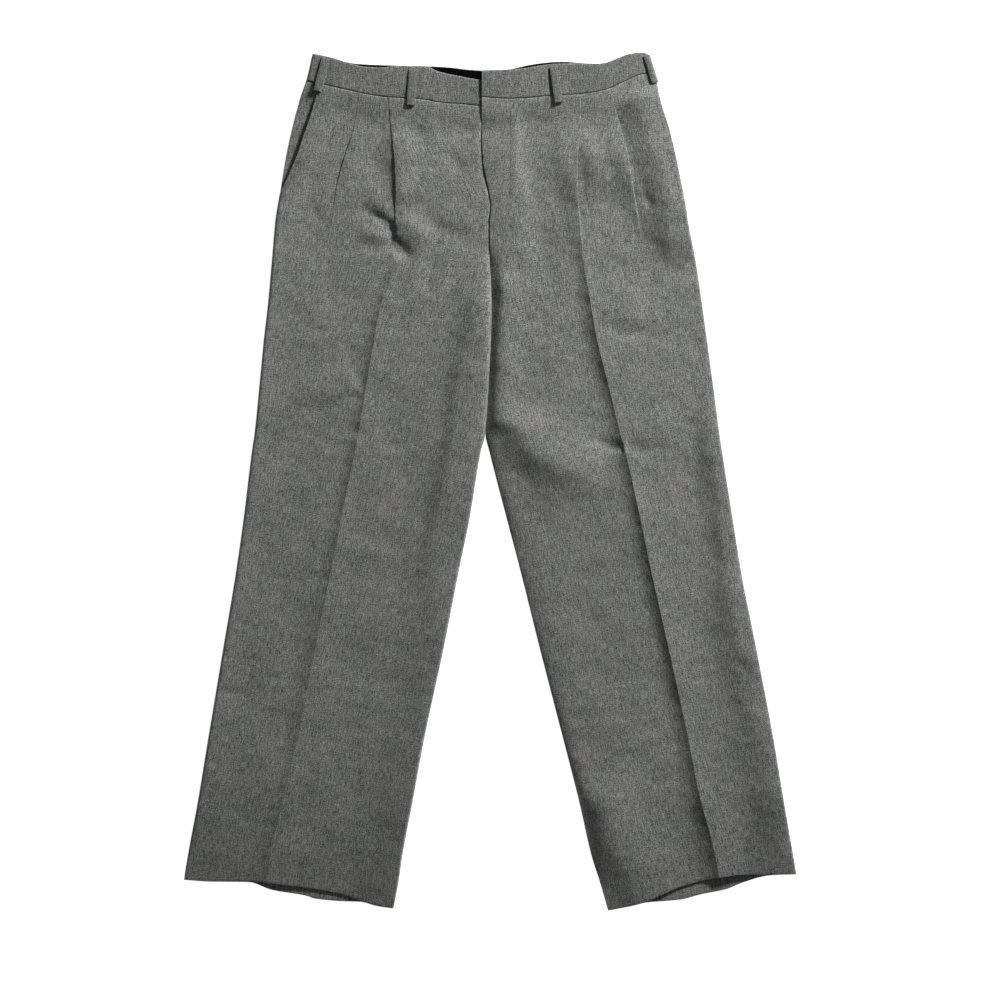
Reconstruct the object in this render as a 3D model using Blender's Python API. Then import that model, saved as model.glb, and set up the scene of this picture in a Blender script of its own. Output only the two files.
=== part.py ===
"""Pleated dress trousers laid flat on their back, waist to +Y, hems to -Y, front up.

Right and left are the wearer's: the right leg lies at -X. Sizes are in millimetres
and become metres when an object is made. Every panel is a cloth wall built on a
middle surface; the reverse pleats are true three-layer folds in the front panels.
"""
import math
from collections import namedtuple

import bpy
import numpy as np

MM = 0.001
CLOTH = 1.2          # suiting wall
BAND = 2.0           # waistband wall: cloth, canvas and cloth
LINING = 1.0         # waistband lining wall
SEAM_GAP = 0.3       # clear gap between pieces
FOLD_R = 0.85        # mid-wall radius of a pressed fold
LOOP_ROOM = 1.4      # the back band stands this high, over the back belt loops
BELT_LOOP = 1.1      # belt loop wall
LAYER = CLOTH + SEAM_GAP

SEAM_Y = 487.0       # nominal height of the waist seam
HEM_Y = -523.0       # nominal height of the hems
TURN_UP = 28.0       # hem turned up inside
PUFF = 2.6           # loft of the front over the back
FLY_UNDERLAP = 30.0  # right front carried under the left front
CENTRE_BACK = -9.5

# Outline of a leg: outseam, main pleat running into the crease, and the line of
# the fly, crotch and inseam. share places the second pleat between outseam and
# main pleat; ridge is how high the pressed crease stands.
Leg = namedtuple("Leg", "y out share crease inner ridge")
RIGHT = [
    Leg(545, -226, .64, -130, -11, 0),
    Leg(510, -234, .64, -129, -11, 0),
    Leg(487, -242, .64, -129, -11, 0),
    Leg(446, -253, .615, -126, -11, 0),
    Leg(408, -261, .54, -122, -9, 0),
    Leg(370, -267, .485, -120.5, -2, 0),
    Leg(330, -273.5, .475, -121, -1, .3),
    Leg(279, -278, .46, -122, -.5, 1),
    Leg(224, -283, .45, -139, 1.5, 2.2),
    Leg(181, -288, .45, -148, .5, 3),
    Leg(129, -293, .45, -158, -2, 3.4),
    Leg(60, -300, .45, -174, -7, 3),
    Leg(40, -303, .45, -178, -12, 3),
    Leg(-49, -314, .45, -197, -27, 3),
    Leg(-112, -323, .45, -210, -40, 3.2),
    Leg(-214, -340, .45, -229, -60, 3.2),
    Leg(-328, -359, .45, -247, -84.5, 3),
    Leg(-404, -371.5, .45, -261, -98.5, 2.6),
    Leg(-478, -385, .45, -277, -112.5, 2.2),
    Leg(-506, -389.3, .45, -283, -116.5, 2),
    Leg(-546, -391, .45, -290, -124, 2),
]
LEFT = [
    Leg(545, 199, .58, 114, -11, 0),
    Leg(510, 210.5, .58, 114, -11, 0),
    Leg(487, 215.5, .58, 114, -11, 0),
    Leg(446, 228, .54, 113.5, -11, 0),
    Leg(408, 237, .49, 110, -9, 0),
    Leg(370, 244.5, .475, 110.5, -2, .4),
    Leg(330, 251, .46, 113, -1, 1.4),
    Leg(279, 261, .45, 118.5, -.5, 3),
    Leg(224, 269, .45, 127, 1.5, 4.4),
    Leg(181, 275, .45, 135, .5, 4.6),
    Leg(129, 282, .45, 149, -2, 4.2),
    Leg(60, 291, .45, 168, -6.5, 4),
    Leg(40, 294, .45, 172, -2, 4.4),
    Leg(-49, 308, .45, 192, 21, 5),
    Leg(-112, 318, .45, 205.5, 37.5, 5.4),
    Leg(-214, 338, .45, 225.5, 63, 5.6),
    Leg(-328, 359.5, .45, 248, 92.5, 5.8),
    Leg(-404, 372, .45, 265, 112, 6),
    Leg(-478, 385, .45, 282.5, 129, 3.4),
    Leg(-506, 389.3, .45, 290, 138, 2.4),
    Leg(-546, 392, .45, 297, 149.5, 2.4),
]

# How a pleat's fold opens on its way down: turn of the cloth and depth folded under.
Pleat = namedtuple("Pleat", "y turn under")
MAIN_PLEAT = [
    Pleat(487, 180, 16), Pleat(440, 180, 13), Pleat(400, 172, 9), Pleat(378, 150, 4),
    Pleat(355, 110, 1), Pleat(335, 70, .5), Pleat(315, 35, .5), Pleat(292, 0, .5),
]
SECOND_PLEAT = [
    Pleat(487, 180, 13), Pleat(440, 180, 10), Pleat(410, 165, 5), Pleat(388, 115, 1),
    Pleat(365, 70, .5), Pleat(340, 35, .5), Pleat(312, 0, .5),
]
ARC = math.pi * FOLD_R

# Waist seam and band edges of the front and the back, from side to side.
Waist = namedtuple("Waist", "x top seam")
WAIST_RIGHT = [
    Waist(-240, 545, 510), Waist(-227, 543.5, 508), Waist(-203, 538.5, 502.5),
    Waist(-178, 530.6, 497), Waist(-165, 527.2, 493.8), Waist(-150, 525.7, 491),
    Waist(-134, 525.7, 488.8), Waist(-122, 527.2, 488), Waist(-90, 527.2, 486),
    Waist(-78, 526, 484.3), Waist(-70, 521.8, 482.6), Waist(-59, 518.6, 481.3),
    Waist(-38, 514.4, 480), Waist(-11, 510, 477.5), Waist(30, 509, 477),
]
WAIST_LEFT = [
    Waist(-12, 521.8, 488.5), Waist(22, 522.8, 486.5), Waist(42, 524.3, 487),
    Waist(53, 526.3, 488), Waist(63, 528, 489), Waist(73, 529.2, 489.9),
    Waist(83, 530.2, 490.5), Waist(107, 530.5, 491.6), Waist(124, 530.6, 493.5),
    Waist(134, 530.3, 494.8), Waist(144, 531, 497.5), Waist(154, 534.3, 500.6),
    Waist(165, 538.6, 505.8), Waist(175, 542.4, 510.5), Waist(190, 544.4, 517),
    Waist(200, 543, 518.5), Waist(214, 541, 519),
]
WAIST_BACK = [
    Waist(-240, 545, 510), Waist(-227, 543.8, 508), Waist(-203, 539.1, 503),
    Waist(-185, 533.7, 498.4), Waist(-170, 531.2, 495.6), Waist(-150, 530, 493),
    Waist(-120, 529, 490.8), Waist(-90, 528.3, 489.4), Waist(-70, 527.7, 488.7),
    Waist(-50, 526.4, 488), Waist(-30, 524, 486.8), Waist(-11, 522.8, 486),
    Waist(22, 524, 486.8), Waist(32, 525.8, 487.8), Waist(42, 528.2, 489.6),
    Waist(53, 530.4, 491.5), Waist(63, 531.9, 493), Waist(73, 533, 494),
    Waist(83, 533.7, 494.6), Waist(93, 533.9, 494.8), Waist(104, 533.2, 494.6),
    Waist(124, 531.6, 494.8), Waist(134, 531, 495.4), Waist(144, 531.6, 497.6),
    Waist(154, 534.8, 501), Waist(165, 539, 505.4), Waist(175, 542.9, 509.5),
    Waist(190, 545, 515.5), Waist(200, 543.5, 518), Waist(214, 541, 519),
]

# The hem of each front, and of the back that reaches below it.
Hem = namedtuple("Hem", "x front back")
HEM_RIGHT = [
    Hem(-392, -506, -506), Hem(-356, -508, -508.5), Hem(-308, -507.5, -509),
    Hem(-278, -510.5, -519), Hem(-234, -516, -526.5), Hem(-224, -517.5, -530),
    Hem(-186, -525, -533.5), Hem(-166, -531.5, -534), Hem(-145, -538.5, -539.5),
    Hem(-122, -542, -543),
]
HEM_LEFT = [
    Hem(148, -545, -545.5), Hem(182, -538, -539), Hem(198, -533, -535),
    Hem(223, -522.5, -533), Hem(240, -515.5, -531.5), Hem(268, -507.5, -524.5),
    Hem(300, -501.5, -518), Hem(318, -499.5, -510.5), Hem(356, -499, -500.5),
    Hem(393, -498.5, -499),
]

# Slanted side pocket: how far the front's edge stands in from the outseam.
Mouth = namedtuple("Mouth", "y right left")
POCKET = [
    Mouth(520, 17, .5), Mouth(495, 18, .5), Mouth(453, 19.5, 1.5),
    Mouth(412, 15.5, 2.2), Mouth(385, 7.5, 1.6), Mouth(362, 0, 0), Mouth(300, 0, 0),
]
POCKET_END = 352.0
FACING_UNDER = 12.0

Lap = namedtuple("Lap", "y under lift")
FLY = [
    Lap(520, 30, 4.3), Lap(470, 30, 4.2), Lap(445, 30, 2.4), Lap(350, 30, 2.2),
    Lap(325, 22, 2.2), Lap(300, 0, 2.1), Lap(262, 0, 0), Lap(200, 0, 0),
]

# Largest folds of the fronts: line from one end to the other, half width, height.
Fold = namedtuple("Fold", "leg x1 y1 x2 y2 half height")
FOLDS = [
    Fold("right", -158, 350, -112, 300, 9, -2.2),
    Fold("right", -112, 300, -98, 280, 9, -1.6),
    Fold("right", -112, 345, -92, 300, 14, 1.2),
    Fold("right", -246, 215, -150, 205, 12, -.8),
    Fold("left", 20, 66, 60, 5, 13, -2.6),
    Fold("left", 60, 5, 155, 0, 12, -2.2),
    Fold("left", 50, 75, 110, 32, 22, 2.4),
    Fold("left", 190, 450, 200, 350, 10, -1.8),
    Fold("left", 128, 212, 260, 200, 13, -1.0),
    Fold("left", 130, 52, 215, 48, 12, -1.4),
    Fold("left", 12, 190, 12, 80, 14, -1.2),
]

# Belt loops: middle of the top end and of the lower end.
LoopAt = namedtuple("LoopAt", "name x_top y_top x_end y_end")
FRONT_LOOPS = [
    LoopAt("belt_loop_front_right", -98.5, 524.5, -101.5, 477),
    LoopAt("belt_loop_front_left", 80.5, 527.5, 86.5, 480.5),
    LoopAt("belt_loop_side_right", -211, 538, -220.5, 496),
    LoopAt("belt_loop_side_left", 196.5, 540.5, 205.5, 506),
]
BACK_LOOPS = [
    LoopAt("belt_loop_back_right", -121, 526.5, -121, 480),
    LoopAt("belt_loop_back_centre", -9.5, 521, -9.5, 475.5),
    LoopAt("belt_loop_back_left", 101, 532, 101, 486),
]
LOOP_WIDTH = 10.5

ROWS = [486.5, 474, 458, 440, 420, 400, 380, 360, 340, 320, 295, 262, 225, 180, 130,
        80, 30, -25, -95, -180, -270, -360, -440, HEM_Y + TURN_UP]
BACK_ROWS = [486.5, 473, 458, 445, 380, 300, 224, 130, 60, 0, -90, -190, -300, -400,
             HEM_Y + TURN_UP]


def along(rows, at, name):
    """Value of a named column of a table, at a place in its first column."""
    key = [r[0] for r in rows]
    value = [getattr(r, name) for r in rows]
    if key[0] > key[-1]:
        key, value = key[::-1], value[::-1]
    return float(np.interp(at, key, value))


def smooth(t):
    t = min(1.0, max(0.0, t))
    return t * t * (3 - 2 * t)


def leg_tables(side):
    if side == "right":
        return RIGHT, HEM_RIGHT, WAIST_RIGHT, 1.0
    return LEFT, HEM_LEFT, WAIST_LEFT, -1.0


def level(side, row, x, back):
    """Height of a nominal row at x, so rows meet the waist seam and the hem."""
    _, hem, waist, _ = leg_tables(side)
    waist = WAIST_BACK if back else waist
    near_seam = smooth((row - 355) / (SEAM_Y - 370))
    near_hem = smooth((-370 - row) / 110)
    seam = along(waist, x, "seam") - SEAM_Y
    edge = along(hem, x, "back" if back else "front") - HEM_Y
    return row + near_seam * seam + near_hem * edge


def edge_x(side, row, name, back):
    """Where a row meets an edge of the leg's outline."""
    outline = leg_tables(side)[0]
    y = row
    for _ in range(4):
        x = along(outline, y, name)
        y = level(side, row, x, back)
    return x


def back_rise(row):
    """The back lifts to its band, which stands over the belt loops."""
    return LOOP_ROOM * smooth((row - SEAM_Y + 44) / 30)


def pleat_curve(table, row):
    """A pleat in section: cloth turns up, runs back, and turns level again."""
    turn = math.radians(along(table, row, "turn"))
    under = along(table, row, "under")
    steps = 3
    at = np.array([0.0, 0.0])
    points = [at]
    chords = [(turn * (k + 0.5) / steps, ARC / steps) for k in range(steps)]
    for heading, length in chords + [(turn, under)] + chords[::-1]:
        at = at + length * np.array([math.cos(heading), math.sin(heading)])
        points.append(at)
    points = np.array(points)
    points[:, 0] -= (points[5, 0] + points[6, 0]) / 2
    return points


def fold_height(side, x, y):
    total = 0.0
    for f in FOLDS:
        if f.leg != side:
            continue
        line = np.array([f.x2 - f.x1, f.y2 - f.y1])
        length = float(np.hypot(*line))
        t = ((x - f.x1) * line[0] + (y - f.y1) * line[1]) / length ** 2
        off = ((x - f.x1) * line[1] - (y - f.y1) * line[0]) / length
        beyond = max(0.0, -t, t - 1) * length
        total += f.height * math.exp(-(off ** 2 + beyond ** 2) / f.half ** 2)
    return total


def front_height(side, p, row, width, crease, x, y):
    """Middle of the front panel's wall, before its pleats are added."""
    outline = leg_tables(side)[0]
    from_edge = 1 - math.exp(-max(0.0, p) / 20)
    from_inner = 1 - math.exp(-max(0.0, width - p) / 20)
    at_seam = smooth((row - 430) / 55)
    z = CLOTH / 2 + back_rise(row) + LAYER
    at_hem = smooth((HEM_Y + TURN_UP + 62 - row) / 56)
    z += PUFF * (1 - 0.55 * at_seam - 0.8 * at_hem) * from_edge * from_inner
    steep, gentle = (9, 45) if side == "right" else (45, 9)
    reach = steep if p < crease else gentle
    z += along(outline, row, "ridge") * math.exp(-abs(p - crease) / reach) * from_inner
    z += fold_height(side, x, y) * from_edge * from_inner
    mouth = along(POCKET, row, side)
    z += 1.6 * smooth((row - 318) / 26) * smooth((mouth + 36 - p) / 20)
    z += 1.15 * at_seam
    z += at_hem * (3.4 + 0.6 * math.sin(math.pi * min(1.0, max(0.0, p / width))))
    if side == "left":
        z += along(FLY, row, "lift") * smooth((p - width + 62) / 26)
    return z


def front_section(side, row):
    """One row of a front panel: places along it and heights of its wall's middle."""
    outline, _, _, inward = leg_tables(side)
    out = edge_x(side, row, "out", False)
    inner = edge_x(side, row, "inner", False)
    width = (inner - out) * inward - (0 if row > 300 else 0.15)
    y_at = level(side, row, (out + inner) / 2, False)
    crease = (along(outline, y_at, "crease") - out) * inward
    second = along(outline, y_at, "share") * crease
    start = along(POCKET, row, side)
    under = along(FLY, row, "under") if side == "right" else 0.0
    main_fold, second_fold = pleat_curve(MAIN_PLEAT, row), pleat_curve(SECOND_PLEAT, row)
    ps, rises = [], []

    def add(places, rise=0.0):
        ps.extend(places)
        rises.extend([rise] * len(places))

    first = second + second_fold[0, 0]
    add([start, start + 5, start + 14, (start + 14 + first) / 2])
    ps.extend(second + second_fold[:, 0])
    rises.extend(second_fold[:, 1])
    low, high = ps[-1], crease + main_fold[0, 0]
    low = max(low, first + 1)
    add([low + (high - low) * k for k in (0.3, 0.6, 0.85)], second_fold[-1, 1])
    ps.extend(crease + main_fold[:, 0])
    rises.extend(main_fold[:, 1] + second_fold[-1, 1])
    top = main_fold[-1, 1] + second_fold[-1, 1]
    begin = ps[-1]
    add([begin + 4, begin + 11, begin + 24], top)
    rest = width - 22 - begin - 24
    add([begin + 24 + rest * 0.4, begin + 24 + rest * 0.75], top)
    if side == "right":
        add([width - 18, width - 7, width - 2.5], top)
        add([width - 1.2 + under / 2, width + under], top)
    else:
        add([width - 20, width - 8, width], top)
    sag_from = (first + 3, crease + main_fold[0, 0] + 3)
    points = []
    for p, rise in zip(ps, rises):
        x = out + inward * p
        y = level(side, row, x, False)
        sag = second_fold[-1, 1] * smooth((p - sag_from[0]) / 24)
        sag += main_fold[-1, 1] * smooth((p - sag_from[1]) / 26)
        z = front_height(side, p, row, width, crease, x, y) + rise - sag
        points.append((x, y, z))
    return np.array(points)


def back_section(side, row):
    """One row of a back panel, flat on the ground plane."""
    _, _, _, inward = leg_tables(side)
    out = edge_x(side, row, "out", True)
    inner = edge_x(side, row, "inner", True) - inward * 0.15
    points = []
    for share in (0, 0.05, 0.12, 0.2, 0.31, 0.42, 0.6, 0.78, 0.92, 1):
        x = out + share * (inner - out)
        points.append((x, level(side, row, x, True), CLOTH / 2 + back_rise(row)))
    return np.array(points)


def turned_hem(grid, hem_row, inside):
    """Carry a grid round the hem edge and up inside; inside is -1 below, +1 above."""
    last = grid[-1]
    rows = list(grid)
    rows.append(hem_row + np.array([0, FOLD_R, 0]))
    for k in (1, 2, 3):
        bend = math.pi * k / 3
        y = FOLD_R * (1 - math.sin(bend))
        rows.append(hem_row + np.array([0, y, inside * FOLD_R * (1 - math.cos(bend))]))
    rows.append(last + np.array([0, 0, inside * 2 * FOLD_R]))
    return np.array(rows)


def wall_mesh(grid, half):
    """Closed wall round a grid of middle points; half is its half thickness."""
    rows, cols = grid.shape[:2]
    a, b = grid[1:, 1:] - grid[:-1, :-1], grid[1:, :-1] - grid[:-1, 1:]
    face = np.cross(a, b)
    face /= np.linalg.norm(face, axis=2)[..., None]
    normal = np.zeros_like(grid)
    for i, j in ((0, 0), (1, 0), (0, 1), (1, 1)):
        normal[i:rows - 1 + i, j:cols - 1 + j] += face
    normal /= np.linalg.norm(normal, axis=2)[..., None]
    mitre = np.ones((rows, cols))
    for i, j in ((0, 0), (1, 0), (0, 1), (1, 1)):
        block = normal[i:rows - 1 + i, j:cols - 1 + j]
        dot = np.clip((block * face).sum(axis=2), 0.8, 1)
        view = mitre[i:rows - 1 + i, j:cols - 1 + j]
        np.minimum(view, dot, out=view)
    half = np.broadcast_to(np.asarray(half, float).reshape(-1, 1), (rows, cols))
    offset = normal * (half / mitre)[..., None]
    verts = np.concatenate([(grid + offset).reshape(-1, 3), (grid - offset).reshape(-1, 3)])
    count = rows * cols
    tris = []

    def quad(p, q, r, s):
        tris.extend([(p, q, r), (p, r, s)])

    for i in range(rows - 1):
        for j in range(cols - 1):
            p, q = i * cols + j, i * cols + j + 1
            r, s = q + cols, p + cols
            quad(p, q, r, s)
            quad(count + p, count + s, count + r, count + q)
    ring = [j for j in range(cols)]
    ring += [i * cols + cols - 1 for i in range(1, rows)]
    ring += [(rows - 1) * cols + j for j in range(cols - 2, -1, -1)]
    ring += [i * cols for i in range(rows - 2, 0, -1)]
    for p, q in zip(ring, ring[1:] + ring[:1]):
        quad(q, p, count + p, count + q)
    tris = np.array(tris)
    corner = verts[tris]
    volume = (corner[:, 0] * np.cross(corner[:, 1], corner[:, 2])).sum()
    return verts, tris if volume > 0 else tris[:, ::-1]


def material(name, colour, roughness):
    made = bpy.data.materials.new(name)
    made.use_nodes = True
    shader = made.node_tree.nodes["Principled BSDF"]
    shader.inputs["Base Color"].default_value = (*colour, 1)
    shader.inputs["Roughness"].default_value = roughness
    made.diffuse_color = (*colour, 1)
    return made


def add_wall(name, grid, half, colour=(0.17, 0.175, 0.165), roughness=0.9):
    verts, tris = wall_mesh(grid, half)
    mesh = bpy.data.meshes.new(name)
    mesh.from_pydata((verts * MM).tolist(), [], tris.tolist())
    mesh.materials.append(material(f"{name}_cloth", colour, roughness))
    made = bpy.data.objects.new(name, mesh)
    bpy.context.scene.collection.objects.link(made)


def band_place(side, path, y):
    """Side of the waistband at a height, with room for the band to turn round it."""
    outline, _, _, inward = leg_tables(side)
    return along(outline, y, "out") + inward * (path + BAND / 2)


BACK_BAND_Z = LOOP_ROOM + BAND / 2
SIDE_R = (BAND + LINING + 2 * SEAM_GAP + 0.1) / 2
FRONT_BAND_Z = BACK_BAND_Z + 2 * SIDE_R
Rise = namedtuple("Rise", "x right left")
BAND_RISE = [
    Rise(0, 0, 0), Rise(35, .9, .7), Rise(80, 1.4, 1.4), Rise(145, 1.3, 1.5),
    Rise(172, .6, 2.4), Rise(205, 0, 2.4), Rise(260, 0, 2.4),
]


def waistband(side):
    """Half a waistband: from the fly, round the side, to the centre back."""
    waist = WAIST_RIGHT if side == "right" else WAIST_LEFT
    inward = leg_tables(side)[3]
    fly_end = -11 + FLY_UNDERLAP + 4 if side == "right" else -11
    columns = []
    places = np.concatenate([np.linspace(0, 0.9, 13), [0.95, 1]])
    if side == "right":
        places = np.concatenate([[0, 0.06, 0.125, 0.15], np.linspace(0.2, 0.9, 9), [0.95, 1]])
    for f in places:
        columns.append(("front", f, 0.0))
    for k in (1, 2, 3, 4):
        columns.append(("turn", 1.0, math.pi * k / 5))
    for f in np.concatenate([[1, 0.95], np.linspace(0.88, 0, 8)]):
        columns.append(("back", f, math.pi))
    grid = []
    for share in (0, 0.05, 0.5, 0.95, 1):
        row = []
        for part, f, bend in columns:
            end = fly_end if part == "front" else CENTRE_BACK - inward * 0.15
            rows = waist if part == "front" else WAIST_BACK
            y = 515.0
            for _ in range(4):
                x = end + f * (band_place(side, SIDE_R, y) - end)
                x -= inward * SIDE_R * math.sin(bend)
                low = along(rows, x, "seam") + 0.35
                y = low + share * (along(rows, x, "top") - low)
            if part == "front":
                z = FRONT_BAND_Z + along(BAND_RISE, abs(x - along(leg_tables(side)[0], y, "out")), side)
            else:
                z = FRONT_BAND_Z - SIDE_R * (1 - math.cos(bend))
            row.append((x, y, z))
        grid.append(row)
    half = BAND / 2 * np.array([0.75, 1, 1, 1, 0.5])
    add_wall(f"waistband_{side}", np.array(grid), half, (0.16, 0.165, 0.155))


def waistband_lining(side):
    """Dark lining on the inner face of the back of the band."""
    inward = leg_tables(side)[3]
    grid = []
    for share in (0, 0.5, 1):
        row = []
        for f in np.linspace(0, 1, 12):
            y = 515.0
            for _ in range(4):
                x = CENTRE_BACK - inward * 0.15
                x += f * (band_place(side, SIDE_R + 1, y) - x)
                low = along(WAIST_BACK, x, "seam") + 0.6
                y = low + share * (along(WAIST_BACK, x, "top") - 2 - low)
            row.append((x, y, LOOP_ROOM + BAND + SEAM_GAP + 0.05 + LINING / 2))
        grid.append(row)
    add_wall(f"waistband_lining_{side}", np.array(grid), LINING / 2, (0.01, 0.01, 0.012), 0.75)


def pocket_facing(side):
    """Facing in the mouth of the side pocket, sewn in the outseam, under the front."""
    inward = leg_tables(side)[3]
    grid = []
    for row in (486.5, 473, 458, 443, 420, 400, 380, POCKET_END):
        out = edge_x(side, row, "out", True)
        reach = along(POCKET, row, side) + FACING_UNDER
        z = CLOTH / 2 + back_rise(row) + LAYER
        points = []
        for share in (0, 0.5, 1):
            x = out + inward * share * reach
            y = min(level(side, row, x, True), level(side, row, x, False))
            points.append((x, y, z))
        grid.append(points)
    add_wall(f"pocket_facing_{side}", np.array(grid), CLOTH / 2)


def front_top(side, x, y):
    """Upper face of a front panel near its waist seam."""
    row = y
    for _ in range(4):
        row += y - level(side, row, x, False)
    section = front_section(side, min(row, ROWS[0]))
    best = 0.0
    for p, q in zip(section[:-1], section[1:]):
        low, high = sorted((p[0], q[0]))
        if low - 1 <= x <= high + 1:
            best = max(best, p[2], q[2])
    return best + CLOTH / 2


def band_top(side, x, y):
    inward_x = abs(x - along(leg_tables(side)[0], y, "out"))
    return FRONT_BAND_Z + along(BAND_RISE, inward_x, side) + BAND / 2


def front_loop(loop):
    """Belt loop sewn over the waistband, standing a little off it, end turned under."""
    side = "right" if "right" in loop.name else "left"
    waist = leg_tables(side)[2]
    start, end = np.array([loop.x_top, loop.y_top]), np.array([loop.x_end, loop.y_end])
    run = (end - start) / np.linalg.norm(end - start)
    across = np.array([-run[1], run[0]]) * LOOP_WIDTH / 2
    grid = []
    for share, off in ((0, 0), (.04, .3), (.2, 1.2), (.45, 1.9), (.7, 1.5), (.88, .5), (1, 0)):
        middle = start + share * (end - start)
        under = []
        for k in (-1, 0, 1):
            x, y = middle + k * across
            x = min(x, 207) if side == "left" else x
            if y > along(waist, x, "seam") - 3:
                under.append(band_top(side, x, y))
            if y < along(waist, x, "seam") + 3:
                under.append(front_top(side, x, y))
        z = max(under) + SEAM_GAP + BELT_LOOP / 2 + off
        grid.append([(*(middle - across), z), (*middle, z), (*(middle + across), z)])
    add_wall(loop.name, np.array(grid), BELT_LOOP / 2)


def back_loop(loop):
    """Belt loop under the back of the waistband, flat on the ground plane."""
    grid = []
    for share in (0, 0.5, 1):
        y = loop.y_top + share * (loop.y_end - loop.y_top)
        grid.append([(loop.x_top + k * LOOP_WIDTH / 2, y, BELT_LOOP / 2) for k in (-1, 0, 1)])
    add_wall(loop.name, np.array(grid), BELT_LOOP / 2)


for old in list(bpy.data.objects):
    bpy.data.objects.remove(old)

for side in ("right", "left"):
    front = np.array([front_section(side, row) for row in ROWS])
    front = turned_hem(front, front_section(side, HEM_Y), -1)
    add_wall(f"front_{side}", front, CLOTH / 2)
    back = np.array([back_section(side, row) for row in BACK_ROWS])
    back = turned_hem(back, back_section(side, HEM_Y), 1)
    add_wall(f"back_{side}", back, CLOTH / 2)
    pocket_facing(side)
    waistband(side)
    waistband_lining(side)
for loop in FRONT_LOOPS:
    front_loop(loop)
for loop in BACK_LOOPS:
    back_loop(loop)
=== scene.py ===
"""Pleated dress trousers laid flat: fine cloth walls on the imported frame.

Lengths in the tables are millimetres. Right and left are the wearer's.
"""

import math
from collections import namedtuple

import bpy
import numpy as np
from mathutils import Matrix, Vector


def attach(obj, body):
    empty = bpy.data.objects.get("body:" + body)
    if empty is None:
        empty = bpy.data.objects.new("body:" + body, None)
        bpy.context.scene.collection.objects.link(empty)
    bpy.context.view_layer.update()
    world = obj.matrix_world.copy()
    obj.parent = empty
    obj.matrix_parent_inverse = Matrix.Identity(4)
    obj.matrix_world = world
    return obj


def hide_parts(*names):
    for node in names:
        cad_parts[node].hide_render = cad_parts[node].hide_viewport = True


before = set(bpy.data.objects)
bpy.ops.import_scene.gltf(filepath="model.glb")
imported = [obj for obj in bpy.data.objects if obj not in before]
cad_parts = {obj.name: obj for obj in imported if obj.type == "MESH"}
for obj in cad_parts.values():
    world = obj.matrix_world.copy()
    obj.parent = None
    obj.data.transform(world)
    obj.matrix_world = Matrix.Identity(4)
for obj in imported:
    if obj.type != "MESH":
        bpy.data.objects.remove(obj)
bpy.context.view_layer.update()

MM = 0.001
CLOTH = 0.6          # suiting wall as drawn
CAD_CLOTH = 1.2      # suiting wall in the frame
SEAM_GAP = 0.3       # air between one wall and the next
HALF_GAP = SEAM_GAP / 2
LAYER = CAD_CLOTH + SEAM_GAP
BAND = 2.0           # waistband wall
LINING = 1.0         # waistband lining wall
FOLD_R = 0.36        # radius of a folded edge, to the middle of its wall
ARC = math.pi * FOLD_R
LOOP_ROOM = 1.4      # height under the waistband for the back belt loops
SEAM_Y = 487.0       # nominal height of the waist seam
HEM_Y = -523.0       # nominal height of the hem
TURN_UP = 28.0       # depth of the hem inside the leg
PUFF = 2.8           # fullness of a front away from its edges
HEM_FALL = 115.0     # length over which that fullness falls away to the hem
CREASE_SLOPE = 45.0  # how slowly a crease falls away on its broad side
HIP_ROLL = 6.0       # extra height along the right outseam
HIP_WIDTH = 34.0
POCKET_LIFT = 1.6    # extra height of a front over its pocket facing
FLY_WIDTH = 62.0     # reach of the fly facing's lift from the left front's edge
BAND_MEET = 0.62     # a front's height over the band's level where they meet
TUCK, TUCK_RUN = 0.75, 1.9    # depth and length of its edge under the band
FLY_FOOT = 300.0
FLY_UNDERLAP = 30.0
CENTRE_FRONT = -11.0
CENTRE_BACK = -9.5
SHARP_ANGLE = 55.0   # degrees
LEAN = {"right": 11.2, "left": -12.6}    # degrees the grain leans down each leg


def table(kind, rows):
    """Rows of a table, with their columns named."""
    return [kind(*row) for row in rows]


Leg = namedtuple("Leg", "y out share crease inner ridge")
LEG_RIGHT = table(Leg, [
    (545, -226, .64, -130, -11, 0), (510, -234, .64, -129, -11, 0), (487, -242, .64, -129, -11, 0),
    (446, -253, .615, -126, -11, 0), (408, -261, .54, -122, -9, 0), (370, -267, .485, -120.5, -2, 0),
    (350, -270.5, .48, -120.8, 1.2, .1), (330, -273.5, .475, -121, -.6, .3),
    (279, -278, .46, -122, -.5, 1), (224, -283, .45, -139, 1.5, 2), (181, -288, .45, -147.5, .5, 2.6),
    (129, -293, .45, -156.5, -2, 2.8), (60, -300, .45, -168, -7, 2.6), (40, -303, .45, -172, -12, 2.6),
    (-49, -314, .45, -190, -27, 2.6), (-112, -323, .45, -202.5, -40, 2.8),
    (-214, -340, .45, -223, -60, 2.8), (-328, -359, .45, -245.5, -84.5, 2.8),
    (-404, -371.5, .45, -263, -98.5, 2.6), (-478, -385, .45, -280, -112.5, 2.4),
    (-506, -389.3, .45, -283, -116.5, 2), (-546, -391, .45, -290, -124, 2),
])
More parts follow.
